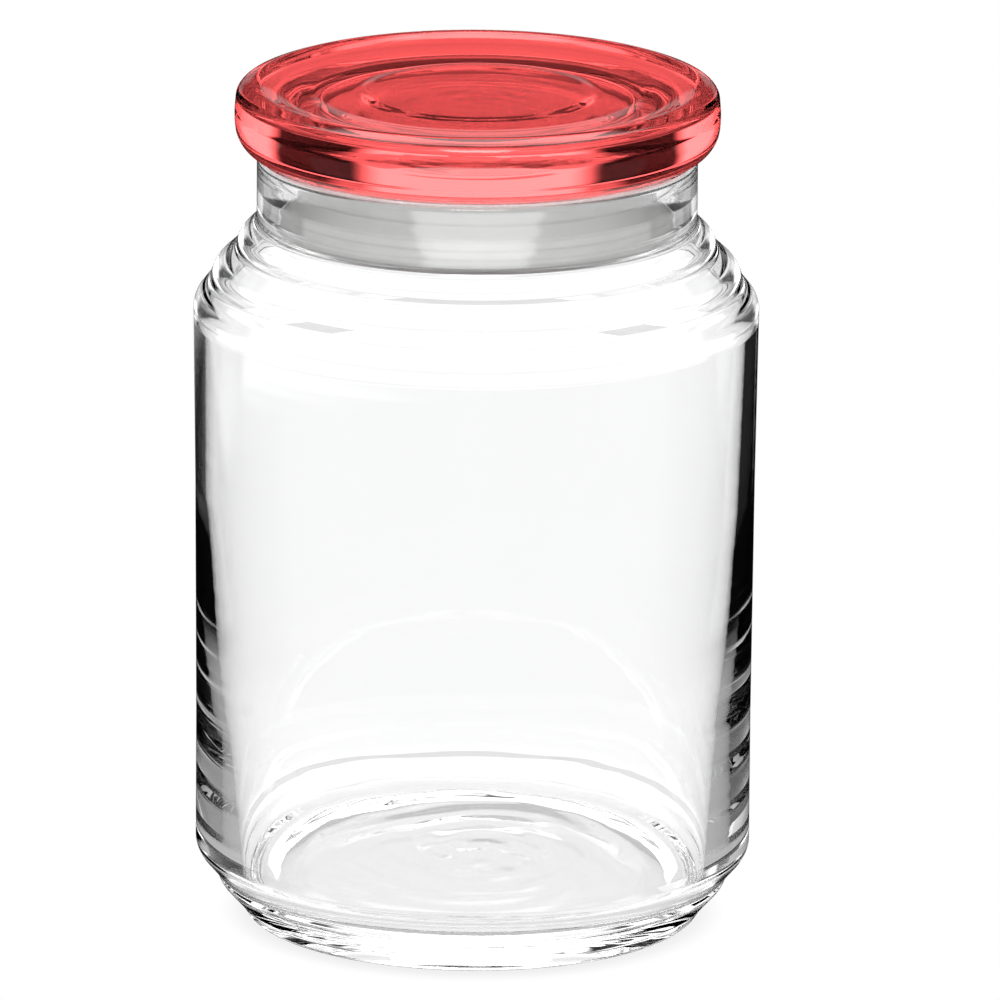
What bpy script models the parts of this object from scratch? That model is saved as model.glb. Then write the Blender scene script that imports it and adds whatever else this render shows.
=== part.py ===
"""Glass candy jar: a clear glass body, a pressed red glass lid and the lid's seal ring.

Metres, +Z up. The origin is the centre of the ring that the jar stands on.
Every piece is turned. Its outline is a row of corners (radius, height, setback)
in the XZ plane. A corner's setback is how far from it, along both of its edges,
the rounding starts. The rounded outline is spun about Z.
"""

import math

import bmesh
import bpy

# Jar, outside
BODY_RADIUS = 0.0545           # widest, just under the shoulder
BODY_DRAFT = 0.0008            # the heel is this much slimmer than the top
BODY_STRAIGHT_HEIGHT = 0.0500  # the wall rises straight for this far above the heel
BODY_HEIGHT = 0.1087           # from the heel to the shoulder
HEEL_HEIGHT = 0.0136           # stepped foot, from the table to the straight wall
FOOT_RADIUS = 0.0434
SHOULDER_HEIGHT = 0.0159       # stepped slope between the straight wall and the neck
NECK_RADIUS = 0.0424
NECK_HEIGHT = 0.0133
FOOT_SETBACK = 0.0013
HEEL_SETBACK = 0.0010
DRAFT_SETBACK = 0.0250
SHOULDER_SETBACK = 0.0010
RIDGE_SETBACK = 0.0008
NOTCH_SETBACK = 0.0004
NECK_SETBACK = 0.0008
RIM_SETBACK = 0.0014

# Each ridge is a convex corner and the notch beside it a concave one. The first
# share is of the way across the slope, the second of the way up it.
HEEL_NOTCH_SHARES = ((0.184, 0.213), (0.612, 0.662))
HEEL_RIDGE_SHARES = ((0.563, 0.529),)
SHOULDER_NOTCH_SHARES = ((0.245, 0.233), (0.668, 0.654))
SHOULDER_RIDGE_SHARES = ((0.332, 0.421), (0.722, 0.792))

# Jar, inside
WALL_TOP = 0.0023
WALL_MIDDLE = 0.0025
WALL_HEEL = 0.0074
THIN_WALL_HEIGHT = 0.0504      # above this height over the heel the wall is thin
THIN_WALL_SETBACK = 0.0220
FLOOR_THICKNESS = 0.0102
FLOOR_DISH = 0.0004
FLOOR_SETBACK = 0.0062
SHOULDER_WALL_DROP = 0.0011    # the inner corner lies this far under the outer one
INNER_SHOULDER_SETBACK = 0.0030
NECK_WALL = 0.0042
THROAT_RISE = 0.0008           # the bore ends this far above the neck's foot
THROAT_WIDTH = 0.0030          # below the bore the glass steps out by this much
THROAT_DEPTH = 0.0026
THROAT_SETBACK = 0.0020
MOUTH_FLARE = 0.0012           # the bore opens by this much at the rim
MOUTH_FLARE_DEPTH = 0.0057
MOUTH_SETBACK = 0.0020
MOUTH_EDGE_SETBACK = 0.0010
PUNT_RADIUS = 0.0400           # pushed-up middle of the underside
PUNT_RISE = 0.0024
PUNT_EDGE_RISE = 0.0012
PUNT_EDGE_WIDTH = 0.0040
PUNT_SETBACK = 0.0006

# Lid. Heights are above the seat, the flat that rests on the jar's rim.
RUNNING_GAP = 0.0003           # between pieces that touch in use
LID_THICKNESS = 0.0133
LID_OVERHANG = 0.00445         # the lid's edge stands out this far past the neck
LID_SEAT_OVERHANG = 0.0006     # the flat seat ends this far outside the neck
LID_BEVEL_RISE = 0.0026        # outside the seat, the underside slopes up and out
LID_LOWER_DRAFT = 0.00065
LID_UPPER_DRAFT = 0.00045
LID_PARTING_HEIGHT = 0.0066    # the widest line, where the two halves of the mould met
LID_CROWN_WIDTH = 0.0036       # from the widest line in to the crest of the rim bead
LID_CREST_WIDTH = 0.0010
LID_BEAD_WIDTH = 0.0036        # from the crest of the bead in to its foot
LID_BEAD_HEIGHT = 0.0011
LID_DISH = 0.0003              # the top sinks by this much from the bead to the step
LID_STEP_RADIUS = 0.0304
LID_STEP_DEPTH = 0.0004
LID_STEP_WIDTH = 0.0014
LID_PAD_RADIUS = 0.0214        # the middle of the top is a shallow raised pad
LID_PAD_RISE = 0.0003
LID_PAD_SLOPE = 0.0010
LID_EDGE_SETBACK = 0.0022
LID_PARTING_SETBACK = 0.0022
LID_CROWN_SETBACK = 0.0030
LID_BEAD_SETBACK = 0.0012
LID_STEP_SETBACK = 0.0005

# Plug, the part of the lid that goes down into the neck
PLUG_DEPTH = 0.0128
PLUG_LIP = 0.0006              # keeps the seal from slipping off
PLUG_LIP_HEIGHT = 0.0016
PLUG_SETBACK = 0.0006
PLUG_WALL = 0.0031             # the plug is a ring this thick round the lid's hollow
RECESS_TAPER = 0.0004
RECESS_SETBACK = 0.0015
MIDDLE_THICKNESS = 0.0098      # of the lid over the hollow

# Seal, a soft plastic sleeve stretched round the plug
SEAL_THICKNESS = 0.0026
SEAL_TOP_GAP = 0.0003
SEAL_LENGTH = 0.0132
SEAL_RIB = 0.0006
# The foot and the head of each rib, as shares of the seal's length from its lower edge.
SEAL_RIB_SHARES = ((0.00, 0.15), (0.24, 0.42), (0.62, 0.86))
SEAL_SLOPE_SHARE = 0.04        # a rib's edge slopes over this share of the length
SEAL_LIP_SHARE = 0.96          # the top lip is drawn in above this share

SEGMENTS = 48
ARC_SEGMENTS = 3
SMALL_ARC_SEGMENTS = 2
SMALL_SETBACK = 0.0009         # a rounding up to this size gets the fewer segments
LONGEST_SETBACK_SHARE = 0.46   # of the shorter of the two edges that meet in a corner
SHARP_ANGLE = math.radians(40)

# Places that follow from the sizes above
HEEL_RADIUS = BODY_RADIUS - BODY_DRAFT
SHOULDER_Z = HEEL_HEIGHT + BODY_HEIGHT
NECK_Z = SHOULDER_Z + SHOULDER_HEIGHT
RIM_Z = NECK_Z + NECK_HEIGHT
BORE_RADIUS = NECK_RADIUS - NECK_WALL
LID_SEAT_Z = RIM_Z + RUNNING_GAP
SEAL_RADIUS = BORE_RADIUS - RUNNING_GAP
SEAL_BORE = SEAL_RADIUS - SEAL_THICKNESS
PLUG_RADIUS = SEAL_BORE - RUNNING_GAP


def clear_scene():
    """Remove whatever the file holds."""
    for item in list(bpy.data.objects):
        bpy.data.objects.remove(item, do_unlink=True)


def between(start, end, share):
    """The value that lies this share of the way from start to end."""
    return start + (end - start) * share


def slope_corners(foot, head, shares, setback):
    """Corners on a stepped slope, each at its shares of the way from foot to head."""
    corners = []
    for across, up in shares:
        radius = between(foot[0], head[0], across)
        height = between(foot[1], head[1], up)
        corners.append((radius, height, setback))
    return corners


def by_height(corners):
    return sorted(corners, key=lambda corner: corner[1])


def jar_outline():
    """From the middle of the underside, up the outside, over the rim and down inside."""
    foot = (FOOT_RADIUS, 0)
    heel = (HEEL_RADIUS, HEEL_HEIGHT)
    shoulder = (BODY_RADIUS, SHOULDER_Z)
    neck = (NECK_RADIUS, NECK_Z)
    throat = NECK_Z + THROAT_RISE
    underside = [
        (0, PUNT_RISE, 0),
        (PUNT_RADIUS - PUNT_EDGE_WIDTH, PUNT_EDGE_RISE, PUNT_SETBACK),
        (PUNT_RADIUS, 0, PUNT_SETBACK),
    ]
    stepped_foot = by_height(
        slope_corners(foot, heel, HEEL_NOTCH_SHARES, NOTCH_SETBACK)
        + slope_corners(foot, heel, HEEL_RIDGE_SHARES, RIDGE_SETBACK)
    )
    wall = [
        (*heel, HEEL_SETBACK),
        (HEEL_RADIUS, HEEL_HEIGHT + BODY_STRAIGHT_HEIGHT, DRAFT_SETBACK),
        (*shoulder, SHOULDER_SETBACK),
    ]
    stepped_shoulder = by_height(
        slope_corners(shoulder, neck, SHOULDER_NOTCH_SHARES, NOTCH_SETBACK)
        + slope_corners(shoulder, neck, SHOULDER_RIDGE_SHARES, RIDGE_SETBACK)
    )
    finish = [
        (*neck, NECK_SETBACK),
        (NECK_RADIUS, RIM_Z, RIM_SETBACK),
        (BORE_RADIUS + MOUTH_FLARE, RIM_Z, MOUTH_EDGE_SETBACK),
        (BORE_RADIUS, RIM_Z - MOUTH_FLARE_DEPTH, MOUTH_SETBACK),
        (BORE_RADIUS, throat, THROAT_SETBACK),
        (BORE_RADIUS + THROAT_WIDTH, throat - THROAT_DEPTH, INNER_SHOULDER_SETBACK),
    ]
    inner_wall = [
        (BODY_RADIUS - WALL_TOP, SHOULDER_Z - SHOULDER_WALL_DROP, INNER_SHOULDER_SETBACK),
        (HEEL_RADIUS - WALL_MIDDLE, HEEL_HEIGHT + THIN_WALL_HEIGHT, THIN_WALL_SETBACK),
        (HEEL_RADIUS - WALL_HEEL, FLOOR_THICKNESS, FLOOR_SETBACK),
        (0, FLOOR_THICKNESS - FLOOR_DISH, 0),
    ]
    return (underside + [(*foot, FOOT_SETBACK)] + stepped_foot + wall
            + stepped_shoulder + finish + inner_wall)


def lid_outline():
    """From the middle of the hollow underside, out under the lid and in over its top."""
    edge_radius = NECK_RADIUS + LID_OVERHANG
    lower_radius = edge_radius - LID_LOWER_DRAFT
    upper_radius = edge_radius - LID_UPPER_DRAFT
    crest_radius = edge_radius - LID_CROWN_WIDTH
    bead_foot = crest_radius - LID_CREST_WIDTH - LID_BEAD_WIDTH
    field = LID_THICKNESS - LID_BEAD_HEIGHT
    step_top = field - LID_DISH
    step_bottom = step_top - LID_STEP_DEPTH
    middle = step_bottom + LID_PAD_RISE
    lip_radius = PLUG_RADIUS + PLUG_LIP
    hollow = middle - MIDDLE_THICKNESS
    recess_radius = PLUG_RADIUS - PLUG_WALL
    underside = [
        (0, hollow, 0),
        (recess_radius - RECESS_TAPER, hollow, RECESS_SETBACK),
        (recess_radius, -PLUG_DEPTH, PLUG_SETBACK),
        (lip_radius, -PLUG_DEPTH, PLUG_SETBACK),
        (lip_radius, PLUG_LIP_HEIGHT - PLUG_DEPTH, 0),
        (PLUG_RADIUS, PLUG_LIP_HEIGHT + PLUG_LIP - PLUG_DEPTH, 0),
        (PLUG_RADIUS, 0, 0),
    ]
    edge = [
        (NECK_RADIUS + LID_SEAT_OVERHANG, 0, PLUG_SETBACK),
        (lower_radius, LID_BEVEL_RISE, LID_EDGE_SETBACK),
        (edge_radius, LID_PARTING_HEIGHT, LID_PARTING_SETBACK),
        (upper_radius, field, LID_CROWN_SETBACK),
    ]
    top = [
        (crest_radius, LID_THICKNESS, LID_BEAD_SETBACK),
        (crest_radius - LID_CREST_WIDTH, LID_THICKNESS, LID_BEAD_SETBACK),
        (bead_foot, field, LID_BEAD_SETBACK),
        (LID_STEP_RADIUS + LID_STEP_WIDTH, step_top, LID_STEP_SETBACK),
        (LID_STEP_RADIUS, step_bottom, LID_STEP_SETBACK),
        (LID_PAD_RADIUS + LID_PAD_SLOPE, step_bottom, 0),
        (LID_PAD_RADIUS, middle, 0),
        (0, middle, 0),
    ]
    return underside + edge + top


def seal_outline():
    """Closed outline of the sleeve: up its ribbed outside and down its plain bore."""
    bottom = -SEAL_TOP_GAP - SEAL_LENGTH
    rib_radius = SEAL_RADIUS
    root_radius = SEAL_RADIUS - SEAL_RIB
    slope = SEAL_SLOPE_SHARE * SEAL_LENGTH
    outside = []
    for foot_share, head_share in SEAL_RIB_SHARES:
        foot = bottom + foot_share * SEAL_LENGTH
        head = bottom + head_share * SEAL_LENGTH
        if foot_share > 0:
            outside.append((root_radius, foot, 0))
        outside.append((rib_radius, foot + slope, 0))
        outside.append((rib_radius, head - slope, 0))
        outside.append((root_radius, head, 0))
    lip = bottom + SEAL_LIP_SHARE * SEAL_LENGTH
    groove = PLUG_LIP_HEIGHT + PLUG_LIP + RUNNING_GAP - PLUG_DEPTH
    return (
        [(root_radius, bottom, 0)]
        + outside
        + [
            (root_radius, lip, 0),
            (root_radius - SEAL_RIB, -SEAL_TOP_GAP, 0),
            (SEAL_BORE, -SEAL_TOP_GAP, 0),
            (SEAL_BORE, groove, 0),
            (SEAL_BORE + PLUG_LIP, groove - PLUG_LIP, 0),
            (SEAL_BORE + PLUG_LIP, bottom, 0),
        ]
    )


def round_corners(mesh, corners, closed):
    """Draw the outline's corners as a wire and round each by its setback."""
    verts = [mesh.verts.new((radius, 0, height)) for radius, height, _ in corners]
    pairs = list(zip(verts, verts[1:]))
    if closed:
        pairs.append((verts[-1], verts[0]))
    for start, end in pairs:
        mesh.edges.new((start, end))
    limits = []
    for vert in verts:
        shortest = min(edge.calc_length() for edge in vert.link_edges)
        limits.append(LONGEST_SETBACK_SHARE * shortest)
    for vert, (_, _, setback), limit in zip(verts, corners, limits):
        if setback > 0:
            segments = SMALL_ARC_SEGMENTS if setback <= SMALL_SETBACK else ARC_SEGMENTS
            bmesh.ops.bevel(
                mesh, geom=[vert], offset=min(setback, limit), offset_type='OFFSET',
                segments=segments, profile=0.5, affect='VERTICES', material=-1,
            )


def turned(name, corners, material, closed=False):
    """A solid of revolution about Z from its outline."""
    mesh = bmesh.new()
    round_corners(mesh, corners, closed)
    bmesh.ops.spin(
        mesh, geom=mesh.verts[:] + mesh.edges[:], axis=(0, 0, 1), cent=(0, 0, 0),
        angle=math.tau, steps=SEGMENTS, use_merge=True,
    )
    pole_points = [vert for vert in mesh.verts if math.hypot(vert.co.x, vert.co.y) < RUNNING_GAP]
    bmesh.ops.remove_doubles(mesh, verts=pole_points, dist=RUNNING_GAP)
    bmesh.ops.recalc_face_normals(mesh, faces=mesh.faces[:])
    data = bpy.data.meshes.new(name)
    mesh.to_mesh(data)
    mesh.free()
    data.shade_smooth()
    data.set_sharp_from_angle(angle=SHARP_ANGLE)
    data.materials.append(material)
    piece = bpy.data.objects.new(name, data)
    bpy.context.collection.objects.link(piece)
    return piece


def principled(name, colour, roughness, transmission, ior):
    material = bpy.data.materials.new(name)
    material.use_nodes = True
    shader = material.node_tree.nodes["Principled BSDF"]
    shader.inputs["Base Color"].default_value = (*colour, 1)
    shader.inputs["Roughness"].default_value = roughness
    shader.inputs["Metallic"].default_value = 0
    shader.inputs["Transmission Weight"].default_value = transmission
    shader.inputs["IOR"].default_value = ior
    material.diffuse_color = (*colour, 1)
    return material


def make_jar():
    glass = principled("clear_glass", (0.96, 0.97, 0.97), 0.02, 1, 1.52)
    return turned("jar", jar_outline(), glass)


def make_lid(carrier):
    """The lid is modelled about the centre of its seat, where the carrier stands."""
    glass = principled("red_glass", (0.82, 0.05, 0.06), 0.03, 1, 1.52)
    lid = turned("lid", lid_outline(), glass)
    lid.parent = carrier
    return lid


def make_seal(carrier):
    plastic = principled("frosted_plastic", (0.80, 0.80, 0.78), 0.45, 0.4, 1.51)
    seal = turned("seal", seal_outline(), plastic, closed=True)
    seal.parent = carrier
    return seal


def make_lid_carrier():
    """An empty on the axis along which the lid and its seal lift out of the jar."""
    carrier = bpy.data.objects.new("lid_carrier", None)
    carrier.location = (0, 0, LID_SEAT_Z)
    bpy.context.collection.objects.link(carrier)
    return carrier


clear_scene()
make_jar()
lid_carrier = make_lid_carrier()
make_lid(lid_carrier)
make_seal(lid_carrier)
bpy.context.view_layer.update()
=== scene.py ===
from math import atan2, cos, hypot, radians, sin, tau

import bmesh
import bpy
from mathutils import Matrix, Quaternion, Vector, noise


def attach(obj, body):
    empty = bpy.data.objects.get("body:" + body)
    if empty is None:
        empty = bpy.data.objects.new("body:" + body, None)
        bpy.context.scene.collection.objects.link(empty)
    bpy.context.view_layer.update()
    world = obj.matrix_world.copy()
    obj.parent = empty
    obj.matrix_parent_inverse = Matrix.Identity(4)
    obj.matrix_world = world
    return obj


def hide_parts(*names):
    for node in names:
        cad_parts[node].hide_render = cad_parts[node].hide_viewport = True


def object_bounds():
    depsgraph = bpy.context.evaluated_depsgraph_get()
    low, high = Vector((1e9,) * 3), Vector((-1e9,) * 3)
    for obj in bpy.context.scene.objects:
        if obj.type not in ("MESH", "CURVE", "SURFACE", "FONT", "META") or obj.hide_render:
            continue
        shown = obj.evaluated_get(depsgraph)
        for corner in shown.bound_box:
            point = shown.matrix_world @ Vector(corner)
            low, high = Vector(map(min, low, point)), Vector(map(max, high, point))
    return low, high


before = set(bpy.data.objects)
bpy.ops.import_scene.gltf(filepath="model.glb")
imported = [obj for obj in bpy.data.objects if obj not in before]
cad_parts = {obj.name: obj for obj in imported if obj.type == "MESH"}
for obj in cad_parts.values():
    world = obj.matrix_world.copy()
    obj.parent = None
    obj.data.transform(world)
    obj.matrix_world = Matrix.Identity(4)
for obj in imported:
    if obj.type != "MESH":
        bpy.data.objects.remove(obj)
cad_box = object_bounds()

# The jar is one piece of clear glass, blown in a mould: a stepped foot, a long straight
# wall, two rounded ridges on the shoulder and a plain neck with a melted rim. Its inside
# was shaped by air alone, so the wall is a little uneven and grows thick near the foot.
TOP = cad_box[1][2]
LID_THICKNESS = 0.0133
SEAT = TOP - LID_THICKNESS
SEAT_GAP = 0.0003
RIM_HEIGHT = SEAT - SEAT_GAP
NECK_LENGTH = 0.0133
SHOULDER_SLOPE = 0.0159
NECK_FOOT = RIM_HEIGHT - NECK_LENGTH
SHOULDER_HEIGHT = NECK_FOOT - SHOULDER_SLOPE
HEEL_HEIGHT = 0.0136
BODY_RADIUS = 0.0545
HEEL_RADIUS = 0.0537
FOOT_RADIUS = 0.0434
NECK_RADIUS = 0.0424
BORE_RADIUS = 0.0382
STRAIGHT_WALL = 0.0500           # the outside widens only above this much of the wall
WALL_TOP = 0.0023
WALL_MIDDLE = 0.0025
WALL_FOOT = 0.0074
WALL_MIDDLE_HEIGHT = 0.0640
GLASS_UNDER = 0.0102             # thickness of the bottom at its edge, and in its middle
GLASS_UNDER_MIDDLE = 0.0098
MOUTH_FLARE = 0.0012
MOUTH_DEPTH = 0.0057
THROAT_RISE = 0.0008             # the bore ends this far above the neck's foot
THROAT_WIDTH = 0.0030            # and then steps out and down by this much
THROAT_DEPTH = 0.0026
INNER_SHOULDER_DROP = 0.0011
PUNT_RADIUS = 0.0408             # pushed-up middle of the underside
PUNT_EDGE_WIDTH = 0.0048
PUNT_EDGE_RISE = 0.0012
PUNT_RISE = 0.0024
# Corners on the two stepped slopes: share of the way across, share of the way up, and
# how far the rounding reaches.
FOOT_STEPS = ((0.184, 0.213, 0.0004), (0.563, 0.529, 0.0012), (0.612, 0.662, 0.0004))
SHOULDER_STEPS = (
    (0.244, 0.233, 0.0006), (0.331, 0.421, 0.0012), (0.669, 0.654, 0.0006), (0.722, 0.792, 0.0010),
)
# How far the other roundings reach: from the underside out and up, then down the inside.
PUNT_EDGE_ROUND = 0.0060
PUNT_FOOT_ROUND = 0.0020
FOOT_ROUND = 0.0013
WALL_END_ROUND = 0.0014
OUTER_WALL_ROUND = 0.0250
NECK_FOOT_ROUND = 0.0012
RIM_ROUND = 0.0015
MOUTH_ROUND = 0.0010
BORE_ROUND = 0.0020
THROAT_ROUND = 0.0030
INNER_SHOULDER_ROUND = 0.0030
INNER_WALL_ROUND = 0.0220
INNER_HEEL_ROUND = 0.0062
FLOOR_EDGE = 0.0390              # the ripples on the bottom end here
FLOOR_RINGS = 80


def steps(foot, head, shares):
    """Corners of a stepped slope between its foot and its head."""
    return [
        (foot[0] + (head[0] - foot[0]) * across, foot[1] + (head[1] - foot[1]) * up, reach)
        for across, up, reach in shares
    ]


MOST_REACH_SHARE = 0.46          # of the shorter edge at a corner
WIDE_REACH = 0.0040              # a rounding this wide gets three times as many facets
MERGE = 0.0001


def turned(name, outline, lift=0.0, closed=False, around=256, rounding=8):
    """A solid of revolution. An outline's corner is (radius, height, reach of its rounding)."""
    mesh = bmesh.new()
    verts = [mesh.verts.new((radius, 0, height + lift)) for radius, height, _ in outline]
    for start, end in zip(verts, verts[1:] + verts[:1] if closed else verts[1:]):
        mesh.edges.new((start, end))
    limits = [MOST_REACH_SHARE * min(edge.calc_length() for edge in vert.link_edges) for vert in verts]
    for vert, (_, _, reach), limit in zip(verts, outline, limits):
        if reach > 0:
            bmesh.ops.bevel(
                mesh, geom=[vert], offset=min(reach, limit), offset_type='OFFSET',
                segments=rounding if reach < WIDE_REACH else 3 * rounding, profile=0.5,
                affect='VERTICES', material=-1,
            )
    bmesh.ops.spin(
        mesh, geom=mesh.verts[:] + mesh.edges[:], axis=(0, 0, 1), cent=(0, 0, 0),
        angle=tau, steps=around, use_merge=True,
    )
    poles = [vert for vert in mesh.verts if hypot(vert.co.x, vert.co.y) < MERGE / 2]
    bmesh.ops.remove_doubles(mesh, verts=poles, dist=MERGE)
    bmesh.ops.recalc_face_normals(mesh, faces=mesh.faces[:])
    data = bpy.data.meshes.new(name)
    mesh.to_mesh(data)
    mesh.free()
    data.shade_smooth()
    piece = bpy.data.objects.new(name, data)
    bpy.context.scene.collection.objects.link(piece)
    weighted = piece.modifiers.new("even shading", 'WEIGHTED_NORMAL')
    weighted.keep_sharp = True
    weighted.weight = 50
    return piece


def node(tree, kind, **values):
    made = tree.nodes.new(kind)
    for key, value in values.items():
        setattr(made, key, value)
    return made


def put(tree, value, socket):
    """A number or colour is set on the socket, anything else is linked to it."""
    if isinstance(value, (int, float)):
        socket.default_value = value
    elif isinstance(value, tuple):
        socket.default_value = (*value, 1)
    else:
        tree.links.new(value, socket)


def math(tree, operation, a, b=0.0):
    made = node(tree, "ShaderNodeMath", operation=operation)
    put(tree, a, made.inputs[0])
    put(tree, b, made.inputs[1])
    return made.outputs[0]


def blend(tree, factor, a, b):
    """Colour a where the factor is 0, colour b where it is 1."""
    made = node(tree, "ShaderNodeMix", data_type='RGBA')
    put(tree, factor, made.inputs["Factor"])
    put(tree, a, made.inputs[6])
    put(tree, b, made.inputs[7])
    return made.outputs[2]


def between(tree, value, low, high):
    """Stretches a value from 0..1 to low..high."""
    made = node(tree, "ShaderNodeMapRange")
    put(tree, value, made.inputs["Value"])
    put(tree, low, made.inputs["To Min"])
    put(tree, high, made.inputs["To Max"])
    return made.outputs["Result"]


def cloud(tree, place, scale, detail=0.0):
    made = node(tree, "ShaderNodeTexNoise")
    put(tree, place, made.inputs["Vector"])
    made.inputs["Scale"].default_value = scale
    made.inputs["Detail"].default_value = detail
    return made.outputs["Fac"]


SLOW_WAVES, RING_STREAKS, GLOSS_PATCHES = 55, 420, 90  # per metre
STREAK_SHARE = 0.35
TINY = 0.001                     # what is divided by stays above this


def poured_glass_group():
    """What all poured glass shows: slow waves, streaks round the axis, patches of gloss."""
    group = bpy.data.node_groups.new("poured glass", 'ShaderNodeTree')
    for name in ("Waves", "Gloss", "Tint"):
        group.interface.new_socket(name, in_out='OUTPUT', socket_type='NodeSocketFloat')
    out = node(group, "NodeGroupOutput")
    place = node(group, "ShaderNodeTexCoord").outputs["Object"]
    split = node(group, "ShaderNodeSeparateXYZ")
    put(group, place, split.inputs[0])
    across = math(group, 'MULTIPLY', split.outputs["X"], split.outputs["X"])
    along = math(group, 'MULTIPLY', split.outputs["Y"], split.outputs["Y"])
    radius = math(group, 'SQRT', math(group, 'ADD', across, along))
    radius = math(group, 'MAXIMUM', radius, TINY)
    ring = node(group, "ShaderNodeCombineXYZ")
    put(group, math(group, 'DIVIDE', split.outputs["X"], radius), ring.inputs["X"])
    put(group, math(group, 'DIVIDE', split.outputs["Y"], radius), ring.inputs["Y"])
    rings = math(group, 'MULTIPLY', math(group, 'ADD', radius, split.outputs["Z"]), RING_STREAKS)
    put(group, rings, ring.inputs["Z"])
    streaks = cloud(group, ring.outputs[0], 1.0)
    slow = cloud(group, place, SLOW_WAVES)
    waves = math(group, 'ADD', math(group, 'MULTIPLY', streaks, STREAK_SHARE), slow)
    put(group, waves, out.inputs["Waves"])
    put(group, cloud(group, place, GLOSS_PATCHES, 1.0), out.inputs["Gloss"])
    put(group, slow, out.inputs["Tint"])
    return group


poured = poured_glass_group()
GLASS_IOR = 1.52
NEARLY_CLEAR = (0.98, 0.98, 0.98)


def glass(name, colour, pale, again, shadow, wave_height, dullest):
    """Poured glass. Its colour is laid on light at the first two faces, and hardly at later ones."""
    material = bpy.data.materials.new(name)
    material.use_nodes = True
    tree = material.node_tree
    shader = tree.nodes["Principled BSDF"]
    pattern = node(tree, "ShaderNodeGroup", node_tree=poured)
    path = node(tree, "ShaderNodeLightPath")
    later = math(tree, 'GREATER_THAN', path.outputs["Transmission Depth"], 1.5)
    bent = math(tree, 'GREATER_THAN', path.outputs["Glossy Depth"], 0.5)
    soft = math(tree, 'GREATER_THAN', path.outputs["Diffuse Depth"], 0.5)
    bent = math(tree, 'MAXIMUM', bent, soft)
    first = blend(tree, pattern.outputs["Tint"], colour, pale)
    tint = blend(tree, later, first, blend(tree, bent, again, NEARLY_CLEAR))
    put(tree, tint, shader.inputs["Base Color"])
    put(tree, between(tree, pattern.outputs["Gloss"], 0.0, dullest), shader.inputs["Roughness"])
    shader.inputs["IOR"].default_value = GLASS_IOR
    shader.inputs["Transmission Weight"].default_value = 1
    bump = node(tree, "ShaderNodeBump")
    bump.inputs["Distance"].default_value = wave_height
    put(tree, pattern.outputs["Waves"], bump.inputs["Height"])
    put(tree, bump.outputs["Normal"], shader.inputs["Normal"])
    clear = node(tree, "ShaderNodeBsdfTransparent")
    clear.inputs["Color"].default_value = (*shadow, 1)
    mix = node(tree, "ShaderNodeMixShader")
    put(tree, path.outputs["Is Shadow Ray"], mix.inputs["Fac"])
    put(tree, shader.outputs["BSDF"], mix.inputs[1])
    put(tree, clear.outputs["BSDF"], mix.inputs[2])
    put(tree, mix.outputs["Shader"], tree.nodes["Material Output"].inputs["Surface"])
    return material


THROAT = NECK_FOOT + THROAT_RISE
jar_outline = [
    (0, PUNT_RISE, 0),
    (PUNT_RADIUS - PUNT_EDGE_WIDTH, PUNT_EDGE_RISE, PUNT_EDGE_ROUND),
    (PUNT_RADIUS, 0, PUNT_FOOT_ROUND),
    (FOOT_RADIUS, 0, FOOT_ROUND),
    *steps((FOOT_RADIUS, 0), (HEEL_RADIUS, HEEL_HEIGHT), FOOT_STEPS),
    (HEEL_RADIUS, HEEL_HEIGHT, WALL_END_ROUND),
    (HEEL_RADIUS, HEEL_HEIGHT + STRAIGHT_WALL, OUTER_WALL_ROUND),
    (BODY_RADIUS, SHOULDER_HEIGHT, WALL_END_ROUND),
    *steps((BODY_RADIUS, SHOULDER_HEIGHT), (NECK_RADIUS, NECK_FOOT), SHOULDER_STEPS),
    (NECK_RADIUS, NECK_FOOT, NECK_FOOT_ROUND),
    (NECK_RADIUS, RIM_HEIGHT, RIM_ROUND),
    (BORE_RADIUS + MOUTH_FLARE, RIM_HEIGHT, MOUTH_ROUND),
    (BORE_RADIUS, RIM_HEIGHT - MOUTH_DEPTH, BORE_ROUND),
    (BORE_RADIUS, THROAT, BORE_ROUND),
    (BORE_RADIUS + THROAT_WIDTH, THROAT - THROAT_DEPTH, THROAT_ROUND),
    (BODY_RADIUS - WALL_TOP, SHOULDER_HEIGHT - INNER_SHOULDER_DROP, INNER_SHOULDER_ROUND),
    (HEEL_RADIUS - WALL_MIDDLE, WALL_MIDDLE_HEIGHT, INNER_WALL_ROUND),
    (HEEL_RADIUS - WALL_FOOT, GLASS_UNDER, INNER_HEEL_ROUND),
    *((FLOOR_EDGE * ring / FLOOR_RINGS, GLASS_UNDER_MIDDLE, 0) for ring in range(FLOOR_RINGS, -1, -1)),
]
jar = turned("jar_glass", jar_outline)

BORE_SHIFT = 0.00035             # the bubble sits this far off the middle
WAVY_FROM, WAVY_TO = 0.0165, 0.1180
FADE = 0.0110
INNER_FACE_SHARE = 0.7           # a point deeper than this in the wall lies on its inner face,
FLOOR_FACE_SHARE = 0.8           # and one higher than this in the bottom on its upper face
WALL_WAVE = 0.00010
WALL_LUMPS = (45, 40, 3)         # lumps per metre across and up, and which layer of the noise
FINE_LUMPS = (110, 70, 7)
FINE_SHARE = 0.10
FLOOR_WAVE = 0.00012
RIPPLE_TURN = 900                # radians per metre outwards
RIPPLE_ARMS = 2
RIPPLE_DRIFT = 3                 # radians that the swirl wanders
DRIFT_LUMPS = (50, 0, 2)
PATCH_LUMPS = (60, 0, 5)


def lumps(spot, across, up, layer):
    """Smooth noise at a spot, from -1 to 1."""
    return noise.noise(Vector((spot.x * across, spot.y * across, spot.z * up + layer)))


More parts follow.
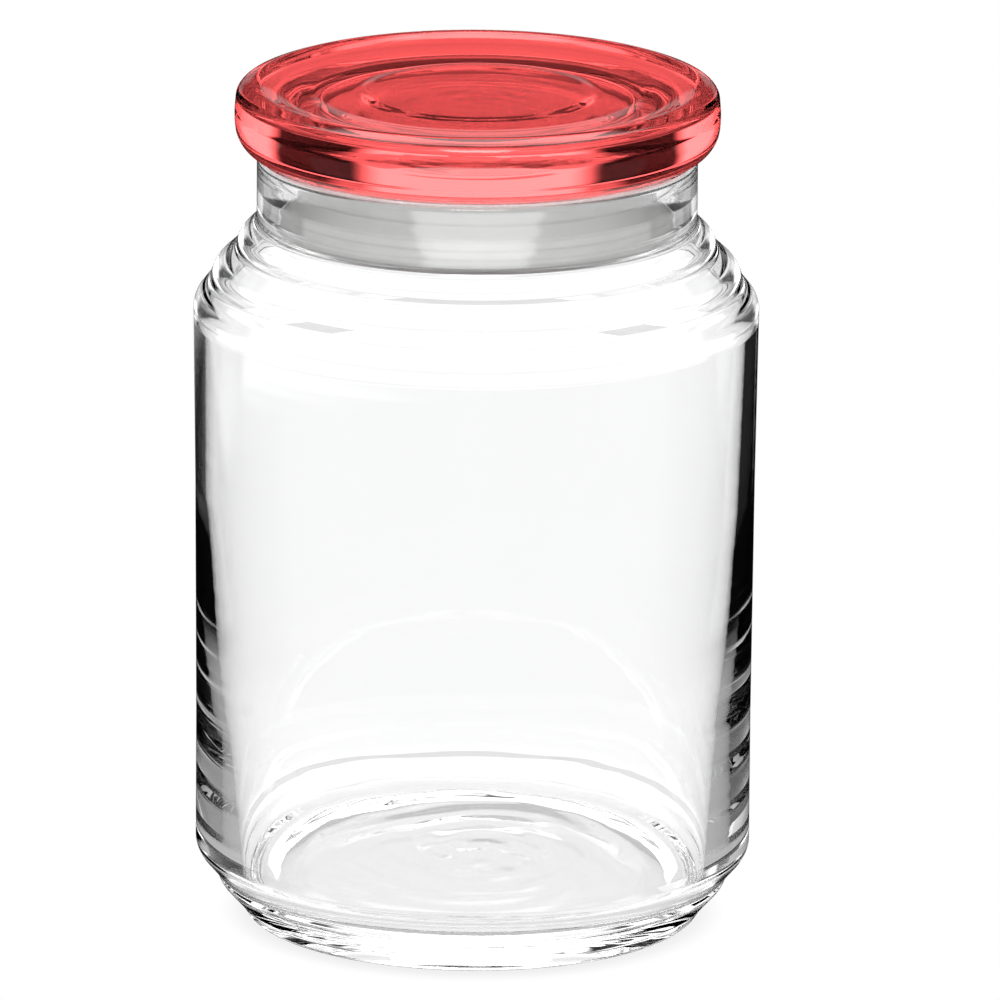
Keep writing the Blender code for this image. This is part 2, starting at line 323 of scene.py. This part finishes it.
for vert in jar.data.vertices:
    x, y, z = vert.co
    radius = hypot(x, y)
    if WAVY_FROM < z < WAVY_TO and radius < BODY_RADIUS - INNER_FACE_SHARE * WALL_TOP:
        fade = min(1, (z - WAVY_FROM) / FADE, (WAVY_TO - z) / FADE)
        wave = lumps(vert.co, *WALL_LUMPS) + FINE_SHARE * lumps(vert.co, *FINE_LUMPS)
        push = WALL_WAVE * wave * fade / radius
        vert.co.x = x * (1 + push) - BORE_SHIFT * fade
        vert.co.y = y * (1 + push)
    elif FLOOR_FACE_SHARE * GLASS_UNDER_MIDDLE < z < GLASS_UNDER and radius < FLOOR_EDGE:
        drift = RIPPLE_DRIFT * lumps(vert.co, *DRIFT_LUMPS)
        turn = radius * RIPPLE_TURN + RIPPLE_ARMS * atan2(y, x) + drift
        patchy = 0.5 + lumps(vert.co, *PATCH_LUMPS)
        fade = min(1, (FLOOR_EDGE - radius) / FADE)
        vert.co.z = z + FLOOR_WAVE * sin(turn) * patchy * fade

CLEAR = (0.97, 0.972, 0.972)
CLEAR_PALE = (0.975, 0.975, 0.975)
CLEAR_WAVE_HEIGHT = 0.00002
CLEAR_DULLEST = 0.010
clear_glass = glass("clear glass", CLEAR, CLEAR_PALE, CLEAR, CLEAR, CLEAR_WAVE_HEIGHT, CLEAR_DULLEST)
jar.data.materials.append(clear_glass)
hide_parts("jar")
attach(jar, "jar")

# The lid is one solid piece of pressed red glass: a disc with a raised bead round its
# top and a shallow pad in its middle, and a hollow plug below that goes into the neck.
# Heights in its outline count from the flat seat that lies on the jar's rim.
LID_RADIUS = 0.04685
LOWER_DRAFT = 0.00065
UPPER_DRAFT = 0.00045
SEAT_RADIUS = NECK_RADIUS + 0.0006
BEVEL_RISE = 0.0026
PARTING_HEIGHT = 0.0066          # the widest line, where the two halves of the mould met
CROWN_WIDTH = 0.0036
CREST_WIDTH = 0.0010
BEAD_WIDTH = 0.0036
BEAD_HEIGHT = 0.0011
DISH = 0.0003
STEP_RADIUS = 0.0304
STEP_WIDTH = 0.0024
STEP_DEPTH = 0.0004
PAD_RADIUS = 0.0214
PAD_SLOPE = 0.0018
PAD_RISE = 0.0003
PLUG_RADIUS = 0.0350
PLUG_DEPTH = 0.0128
PLUG_WALL = 0.0031
PLUG_LIP = 0.0006
PLUG_LIP_HEIGHT = 0.0016
HOLLOW_TAPER = 0.0004
MIDDLE_THICKNESS = 0.0098
HOLLOW_ROUND = 0.0015            # reaches of the roundings, from the hollow out and up
PLUG_END_ROUND = 0.0008
LIP_ROUND = 0.0006
SEAT_ROUND = 0.0016
SIDE_ROUND = 0.0022
CROWN_ROUND = 0.0030
BEAD_ROUND = 0.0012
STEP_ROUND = 0.0011
PAD_ROUND = 0.0008

crest = LID_RADIUS - CROWN_WIDTH
field = LID_THICKNESS - BEAD_HEIGHT
low_ring = field - DISH - STEP_DEPTH
pad = low_ring + PAD_RISE
hollow = pad - MIDDLE_THICKNESS
hollow_radius = PLUG_RADIUS - PLUG_WALL
lip = PLUG_RADIUS + PLUG_LIP
lid_outline = [
    (0, hollow, 0),
    (hollow_radius - HOLLOW_TAPER, hollow, HOLLOW_ROUND),
    (hollow_radius, -PLUG_DEPTH, PLUG_END_ROUND),
    (lip, -PLUG_DEPTH, LIP_ROUND),
    (lip, PLUG_LIP_HEIGHT - PLUG_DEPTH, 0),
    (PLUG_RADIUS, PLUG_LIP_HEIGHT + PLUG_LIP - PLUG_DEPTH, 0),
    (PLUG_RADIUS, 0, 0),
    (SEAT_RADIUS, 0, SEAT_ROUND),
    (LID_RADIUS - LOWER_DRAFT, BEVEL_RISE, SIDE_ROUND),
    (LID_RADIUS, PARTING_HEIGHT, SIDE_ROUND),
    (LID_RADIUS - UPPER_DRAFT, field, CROWN_ROUND),
    (crest, LID_THICKNESS, BEAD_ROUND),
    (crest - CREST_WIDTH, LID_THICKNESS, BEAD_ROUND),
    (crest - CREST_WIDTH - BEAD_WIDTH, field, BEAD_ROUND),
    (STEP_RADIUS + STEP_WIDTH, field - DISH, STEP_ROUND),
    (STEP_RADIUS, low_ring, STEP_ROUND),
    (PAD_RADIUS + PAD_SLOPE, low_ring, PAD_ROUND),
    (PAD_RADIUS, pad, PAD_ROUND),
    (0, pad, 0),
]
lid = turned("lid_glass", lid_outline, lift=SEAT)
RED = (0.98, 0.10, 0.10)
RED_PALE = (0.99, 0.115, 0.115)
RED_AGAIN = (0.97, 0.90, 0.90)
RED_SHADOW = (0.80, 0.60, 0.60)
RED_WAVE_HEIGHT = 0.00005
RED_DULLEST = 0.020
red_glass = glass("red glass", RED, RED_PALE, RED_AGAIN, RED_SHADOW, RED_WAVE_HEIGHT, RED_DULLEST)
lid.data.materials.append(red_glass)
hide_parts("lid")
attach(lid, "lid")

# The seal is a soft milky sleeve stretched round the plug. Three flat ribs round its
# outside press against the neck. It was moulded, so its skin is satin and finely lined.
SEAL_LENGTH = 0.0132
SEAL_GAP = 0.0003                # to the lid's seat and to the lip of the plug
SEAL_TOP = -SEAL_GAP
SEAL_BOTTOM = SEAL_TOP - SEAL_LENGTH
RIB_RADIUS = 0.0379
ROOT_RADIUS = 0.0373
SEAL_BORE = 0.0353
EDGE = 0.0003
RIBS = ((0.00, 0.15), (0.24, 0.42), (0.62, 0.86))  # foot and head as shares of the length
RIB_SLOPE = 0.04
seal_outline = [(ROOT_RADIUS, SEAL_BOTTOM, EDGE)]
for foot, head in RIBS:
    if foot > 0:
        seal_outline.append((ROOT_RADIUS, SEAL_BOTTOM + foot * SEAL_LENGTH, EDGE))
    seal_outline += [
        (RIB_RADIUS, SEAL_BOTTOM + (foot + RIB_SLOPE) * SEAL_LENGTH, EDGE),
        (RIB_RADIUS, SEAL_BOTTOM + (head - RIB_SLOPE) * SEAL_LENGTH, EDGE),
        (ROOT_RADIUS, SEAL_BOTTOM + head * SEAL_LENGTH, EDGE),
    ]
groove = PLUG_LIP_HEIGHT + PLUG_LIP + SEAL_GAP - PLUG_DEPTH
seal_outline += [
    (ROOT_RADIUS, SEAL_BOTTOM + (1 - RIB_SLOPE) * SEAL_LENGTH, EDGE),
    (ROOT_RADIUS - PLUG_LIP, SEAL_TOP, EDGE), (SEAL_BORE, SEAL_TOP, 0), (SEAL_BORE, groove, 0),
    (SEAL_BORE + PLUG_LIP, groove - PLUG_LIP, 0), (SEAL_BORE + PLUG_LIP, SEAL_BOTTOM, 0),
]
seal = turned("seal_ring", seal_outline, lift=SEAT, closed=True, rounding=3)

MILKY = (0.86, 0.86, 0.85)
MILKY_DEEP = (0.78, 0.78, 0.77)
MOTTLE = 240                     # patches per metre
MOULD_LINES = 9000               # radians per metre up
LINE_SHARE = 0.3
SKIN_HEIGHT = 0.00002
SATIN_FROM, SATIN_TO = 0.28, 0.46
PLASTIC_IOR = 1.45
plastic = bpy.data.materials.new("milky plastic")
plastic.use_nodes = True
tree = plastic.node_tree
shader = tree.nodes["Principled BSDF"]
place = node(tree, "ShaderNodeTexCoord").outputs["Object"]
mottle = cloud(tree, place, MOTTLE, 3.0)
put(tree, blend(tree, mottle, MILKY, MILKY_DEEP), shader.inputs["Base Color"])
put(tree, between(tree, mottle, SATIN_FROM, SATIN_TO), shader.inputs["Roughness"])
shader.inputs["IOR"].default_value = PLASTIC_IOR
split = node(tree, "ShaderNodeSeparateXYZ")
put(tree, place, split.inputs[0])
lines = math(tree, 'SINE', math(tree, 'MULTIPLY', split.outputs["Z"], MOULD_LINES))
bump = node(tree, "ShaderNodeBump")
bump.inputs["Distance"].default_value = SKIN_HEIGHT
put(tree, math(tree, 'ADD', math(tree, 'MULTIPLY', lines, LINE_SHARE), mottle), bump.inputs["Height"])
put(tree, bump.outputs["Normal"], shader.inputs["Normal"])
seal.data.materials.append(plastic)
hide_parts("seal")
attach(seal, "lid")

# The studio is a white paper sweep. What is seen straight through the glass is evenly
# white; light that turned a corner inside the glass comes from a few lit panels, with
# darkness between them. Angles count from straight behind the jar and from the table.
OPEN = 1.0
UNDER = 0.86                     # the paper close to the foot, darkened by a painted shade of the jar, and the same painted shade seen only through the foot
UNDER_FOOT = 0.74                # and the same seen only through the foot
DARK = 0.003
STRAIGHT = 1.13                  # brightness straight through the glass, in a sector that reaches
STRAIGHT_ASIDE = 27              # this many degrees to each side
TABLE_LIGHTS = (
    # brightness, from and to how many degrees aside, nearest and farthest distance in m
    (0.55, 0, 180, -1, 0.15),
    (2.0, 0, 15, 0.15, 0.55),
    (1.5, 0, 22, 0.50, 0.95),
    (0.22, 18, 58, 0.50, 0.95),
    (1.3, 0, 22, 0.90, 40),
    (2.1, 72, 180, 0.45, 40),
)
SKY_LIGHTS = (
    # brightness, from and to how many degrees aside, lowest and highest angle in degrees
    (4.4, 0, 19, -5, 13),
    (5.0, 0, 13, 11, 27),
    (3.0, 0, 38, 24, 47),
    (3.6, 0, 180, 26, 47),
    (3.0, 0, 180, 44, 95),
    (4.5, 47, 76, 7, 22),
    (3.4, 72, 180, -5, 26),
)
TABLE_CARDS = (
    # white cards lying on the table: brightness, least and most |x|, least and most y
    (4.0, 0, 0.43, -1.6, -0.53),
    (0.15, 0, 0.60, -0.53, -0.05),
    (0.4, 0.33, 0.75, 0.16, 0.55),
)
SHINE_BOXES = (
    # lamps seen only in the outer surface: brightness, half width, near and far end,
    # all three as shares of the height that they hang at
    (3.2, 0.55, -0.10, 1.00),
    (10.0, 0.36, -1.60, -0.80),
)
HORIZON_GLOW = 0.4
MOST = 1.0                       # the table's panels are no brighter than this straight through
FILL, CAP = 0.45, 1.15           # low light that turned inside several walls stays between these
THROUGH = 1.0                    # the sky straight through several walls, and the table at least
THROUGH_FROM = (0.42, 0.50)      # from about this distance on
BEHIND = (0.92, 0.43, 0.53)      # the paper is duller between these distances
LOST_LOW, LOST_HIGH = 0.8, 2.2   # what is left of light after many turns: low and high sky,
LOST_FAR = 1.3                   # far table, and the table at the jar's left and right
LOST_LEFT, LOST_RIGHT = 0.30, 0.08
LOST_ASIDE = 0.06                # and farther out at its left,
ASIDE_FROM = (0.22, 0.30)        # from about this distance on
MIDDLE = 0.03                    # left turns to right within this of the jar's axis
EDGE_LIFT = (0.19, 0.1)          # the paper is this much brighter, this many metres aside
EDGE_LIFT_MOST = 0.25
SOFT_FRONT, SOFT_SIDE, SOFT_BACK = 2.00, 0.01, 0.80  # light on the matt seal, by where it comes from
SOFT_FRONT_SKY, SOFT_BACK_SKY = (0.1, -0.9), (0.6, 0.9)
SOFT_FRONT_TABLE, SOFT_BACK_TABLE = (0.1, -0.5), (0.3, 0.9)
# Where one light fades into the next: angles in degrees, distances in metres.
HIGH_SKY = (24, 30)
GLOW_UP, GLOW_ASIDE = (12, 8), (24, 16)
# CONTACT: the painted shade round the foot is full within the second distance and gone beyond the first
CONTACT = (0.050, 0.042)
NEAR_END, FAR_START = 0.50, 0.56
# Half the width of each soft edge. A shine box counts its edges as shares too.
STRAIGHT_EDGE = 3
PANEL_EDGE_ASIDE, PANEL_EDGE_UP = radians(4), radians(3)
CARD_EDGE = 0.02
BOX_EDGE_ALONG, BOX_EDGE_ACROSS = 0.10, 0.08
FEW_FACES = 3                    # a ray through at most this many faces went through few walls
OFTEN = (1.0, 3.5)               # turns inside the glass: not yet often, and fully so
scene = bpy.context.scene
scene.view_settings.view_transform = 'Standard'


def gate(tree, value, start, end):
    """0 up to the start, 1 from the end, soft between them."""
    made = node(tree, "ShaderNodeMapRange", interpolation_type='SMOOTHSTEP', clamp=True)
    put(tree, value, made.inputs["Value"])
    put(tree, start, made.inputs["From Min"])
    put(tree, end, made.inputs["From Max"])
    return made.outputs["Result"]


def window(tree, value, low, high, soft):
    """1 between low and high, soft at both ends."""
    return math(tree, 'MULTIPLY', gate(tree, value, low - soft, low + soft),
                gate(tree, value, high + soft, high - soft))


def lit_panels(tree, sideways, position, panels, soft_side, soft_end):
    """The brightness of the panel that lies in this direction."""
    total = DARK
    for brightness, inner, outer, low, high in panels:
        lit = window(tree, position, low, high, soft_end)
        if inner > 0:
            start = radians(inner)
            lit = math(tree, 'MULTIPLY', lit, gate(tree, sideways, start - soft_side, start + soft_side))
        if outer < 180:
            end = radians(outer)
            lit = math(tree, 'MULTIPLY', lit, gate(tree, sideways, end + soft_side, end - soft_side))
        total = math(tree, 'MAXIMUM', total, math(tree, 'MULTIPLY', lit, brightness))
    return total


def choose(tree, choice, yes, no):
    """yes where the choice is 1, else no."""
    made = node(tree, "ShaderNodeMix", data_type='FLOAT')
    put(tree, choice, made.inputs["Factor"])
    put(tree, no, made.inputs["A"])
    put(tree, yes, made.inputs["B"])
    return made.outputs["Result"]


def ahead(tree, sideways):
    """1 in the sector straight behind the jar."""
    start = radians(STRAIGHT_ASIDE + STRAIGHT_EDGE)
    return gate(tree, sideways, start, radians(STRAIGHT_ASIDE - STRAIGHT_EDGE))


def bearings(tree, vector):
    """The parts of a vector, how far aside it points, and its angle from straight behind."""
    split = node(tree, "ShaderNodeSeparateXYZ")
    put(tree, vector, split.inputs[0])
    aside = math(tree, 'ABSOLUTE', split.outputs["X"])
    return split.outputs, aside, math(tree, 'ARCTAN2', aside, split.outputs["Y"])


def soft_light(tree, along, front, back):
    """Light that only matt faces get: from the front and the back, hardly from the sides."""
    soft = choose(tree, gate(tree, along, *front), SOFT_FRONT, SOFT_SIDE)
    return choose(tree, gate(tree, along, *back), SOFT_BACK, soft)


def ray_kinds(tree):
    """How the ray came: into glass, turned inside it, turned often, through few walls, from a matt face."""
    path = node(tree, "ShaderNodeLightPath")
    through, turns = path.outputs["Transmission Depth"], path.outputs["Glossy Depth"]
    few_walls = math(tree, 'LESS_THAN', through, FEW_FACES + 0.5)
    often = math(tree, 'MULTIPLY', gate(tree, turns, *OFTEN), few_walls)
    return (
        math(tree, 'GREATER_THAN', through, 0.5), math(tree, 'GREATER_THAN', turns, 0.5),
        often, few_walls, math(tree, 'GREATER_THAN', path.outputs["Diffuse Depth"], 0.5),
    )


world = bpy.data.worlds.new("studio")
scene.world = world
world.use_nodes = True
world.cycles.sampling_method = 'NONE'
tree = world.node_tree
tree.nodes.clear()
entered, turned_inside, often, few_walls, matt = ray_kinds(tree)
parts, aside, sideways = bearings(tree, node(tree, "ShaderNodeTexCoord").outputs["Generated"])
height = math(tree, 'ARCSINE', parts["Z"])
panels = [
    (brightness, inner, outer, radians(low), radians(high))
    for brightness, inner, outer, low, high in SKY_LIGHTS
]
inside = lit_panels(tree, sideways, height, panels, PANEL_EDGE_ASIDE, PANEL_EDGE_UP)
straight = math(tree, 'MAXIMUM', inside, math(tree, 'MULTIPLY', ahead(tree, sideways), STRAIGHT))
straight = choose(tree, few_walls, straight, THROUGH)
above = math(tree, 'MAXIMUM', parts["Z"], TINY)
along = math(tree, 'DIVIDE', parts["Y"], above)
across = math(tree, 'DIVIDE', aside, above)
glow_up = gate(tree, height, *map(radians, GLOW_UP))
glow_aside = gate(tree, sideways, *map(radians, GLOW_ASIDE))
shine = math(tree, 'MULTIPLY', math(tree, 'MULTIPLY', glow_up, glow_aside), HORIZON_GLOW)
for brightness, half_box, near, far in SHINE_BOXES:
    box_across = gate(tree, across, half_box + BOX_EDGE_ACROSS, half_box - BOX_EDGE_ACROSS)
    lit = math(tree, 'MULTIPLY', window(tree, along, near, far, BOX_EDGE_ALONG), box_across)
    shine = math(tree, 'MAXIMUM', shine, math(tree, 'MULTIPLY', lit, brightness))
high = gate(tree, height, *map(radians, HIGH_SKY))
capped = math(tree, 'MAXIMUM', math(tree, 'MINIMUM', inside, CAP), FILL)
inside = choose(tree, math(tree, 'MAXIMUM', few_walls, high), inside, capped)
inside = choose(tree, often, choose(tree, high, LOST_HIGH, LOST_LOW), inside)
strength = choose(tree, turned_inside, inside, straight)
strength = choose(tree, entered, strength, choose(tree, turned_inside, shine, OPEN))
soft = soft_light(tree, parts["Y"], SOFT_FRONT_SKY, SOFT_BACK_SKY)
background = node(tree, "ShaderNodeBackground")
put(tree, choose(tree, matt, soft, strength), background.inputs["Strength"])
put(tree, background.outputs[0], node(tree, "ShaderNodeOutputWorld").inputs["Surface"])

paper = bpy.data.materials.new("white paper")
paper.use_nodes = True
paper.cycles.emission_sampling = 'NONE'
tree = paper.node_tree
tree.nodes.clear()
entered, turned_inside, often, few_walls, matt = ray_kinds(tree)
place = node(tree, "ShaderNodeNewGeometry").outputs["Position"]
parts, aside, sideways = bearings(tree, place)
length = node(tree, "ShaderNodeVectorMath", operation='LENGTH')
put(tree, place, length.inputs[0])
away = length.outputs["Value"]
# A painted shade: the paper's glow is turned down close round the jar's foot, in place of its shadow
painted_contact_shade = gate(tree, away, *CONTACT)
cards = DARK
for brightness, near_x, far_x, near_y, far_y in TABLE_CARDS:
    lit = math(tree, 'MULTIPLY', window(tree, parts["Y"], near_y, far_y, CARD_EDGE),
               gate(tree, aside, far_x + CARD_EDGE, far_x - CARD_EDGE))
    if near_x > 0:
        lit = math(tree, 'MULTIPLY', lit, gate(tree, aside, near_x - CARD_EDGE, near_x + CARD_EDGE))
    cards = math(tree, 'MAXIMUM', cards, math(tree, 'MULTIPLY', lit, brightness))
inside = lit_panels(tree, sideways, away, TABLE_LIGHTS, PANEL_EDGE_ASIDE, CARD_EDGE)
inside = math(tree, 'MAXIMUM', inside, cards)
near_lit = gate(tree, away, FAR_START, NEAR_END)
lit = math(tree, 'MULTIPLY', math(tree, 'MAXIMUM', ahead(tree, sideways), near_lit), STRAIGHT)
straight = math(tree, 'MAXIMUM', math(tree, 'MINIMUM', inside, MOST), lit)
# What is seen through the glass near the foot gets the painted shade too
under = choose(tree, few_walls, UNDER_FOOT, UNDER)
straight = math(tree, 'MULTIPLY', straight, choose(tree, painted_contact_shade, under, 1.0))
rise, distance = EDGE_LIFT
lift = math(tree, 'MULTIPLY', math(tree, 'POWER', aside, 3.0), rise / distance ** 3)
lift = math(tree, 'ADD', math(tree, 'MINIMUM', lift, EDGE_LIFT_MOST), 1.0)
straight = math(tree, 'MULTIPLY', straight, lift)
dull, start, end = BEHIND
dull = choose(tree, window(tree, away, start, end, CARD_EDGE), dull, 1.0)
straight = math(tree, 'MULTIPLY', straight, dull)
least = math(tree, 'MULTIPLY', gate(tree, away, *THROUGH_FROM), THROUGH)
straight = choose(tree, few_walls, straight, math(tree, 'MAXIMUM', straight, least))
capped = math(tree, 'MAXIMUM', math(tree, 'MINIMUM', inside, CAP), FILL)
inside = choose(tree, few_walls, inside, capped)
left = choose(tree, gate(tree, away, *ASIDE_FROM), LOST_ASIDE, LOST_LEFT)
dim = choose(tree, gate(tree, parts["X"], MIDDLE, -MIDDLE), left, LOST_RIGHT)
dim = choose(tree, gate(tree, away, NEAR_END, FAR_START), LOST_FAR, dim)
inside = choose(tree, often, dim, inside)
strength = choose(tree, turned_inside, inside, straight)
# The camera sees the paper with the same painted shade round the foot
open_paper = choose(tree, painted_contact_shade, UNDER, OPEN)
strength = choose(tree, entered, strength, choose(tree, turned_inside, cards, open_paper))
soft = soft_light(tree, parts["Y"], SOFT_FRONT_TABLE, SOFT_BACK_TABLE)
emission = node(tree, "ShaderNodeEmission")
put(tree, choose(tree, matt, soft, strength), emission.inputs["Strength"])
put(tree, emission.outputs[0], node(tree, "ShaderNodeOutputMaterial").inputs["Surface"])

FLOOR_REACH = 30
FLOOR_DROP = 0.0002              # keeps the paper's face apart from the foot's
MOST_WALLS, MOST_TURNS = 24, 16  # how often light may pass and bounce
mesh = bmesh.new()
bmesh.ops.create_grid(mesh, x_segments=1, y_segments=1, size=FLOOR_REACH)
bmesh.ops.translate(mesh, verts=mesh.verts[:], vec=(0, 0, -FLOOR_DROP))
data = bpy.data.meshes.new("floor")
mesh.to_mesh(data)
mesh.free()
floor = bpy.data.objects.new("floor", data)
scene.collection.objects.link(floor)
floor.data.materials.append(paper)
scene.cycles.max_bounces = MOST_WALLS
scene.cycles.transmission_bounces = MOST_WALLS
scene.cycles.glossy_bounces = MOST_TURNS

# The camera stands a long way off and looks slightly down on the jar. It is rolled by
# less than half a degree, because the real one wasn't quite level.
LENS, SENSOR = 652.2, 36         # in mm
CLIP_END = 100
DISTANCE = 3.5
ELEVATION = radians(15.3)
ROLL = radians(0.45)
AIM = Vector((0.00485, 0, 0.0822))
camera_data = bpy.data.cameras.new("camera")
camera = bpy.data.objects.new("camera", camera_data)
scene.collection.objects.link(camera)
scene.camera = camera
camera_data.sensor_width = SENSOR
camera_data.lens = LENS
camera_data.clip_end = CLIP_END
camera.location = AIM + Vector((0, -DISTANCE * cos(ELEVATION), DISTANCE * sin(ELEVATION)))
camera.rotation_mode = 'QUATERNION'
look = (AIM - camera.location).to_track_quat('-Z', 'Y')
camera.rotation_quaternion = look @ Quaternion((0, 0, 1), ROLL)
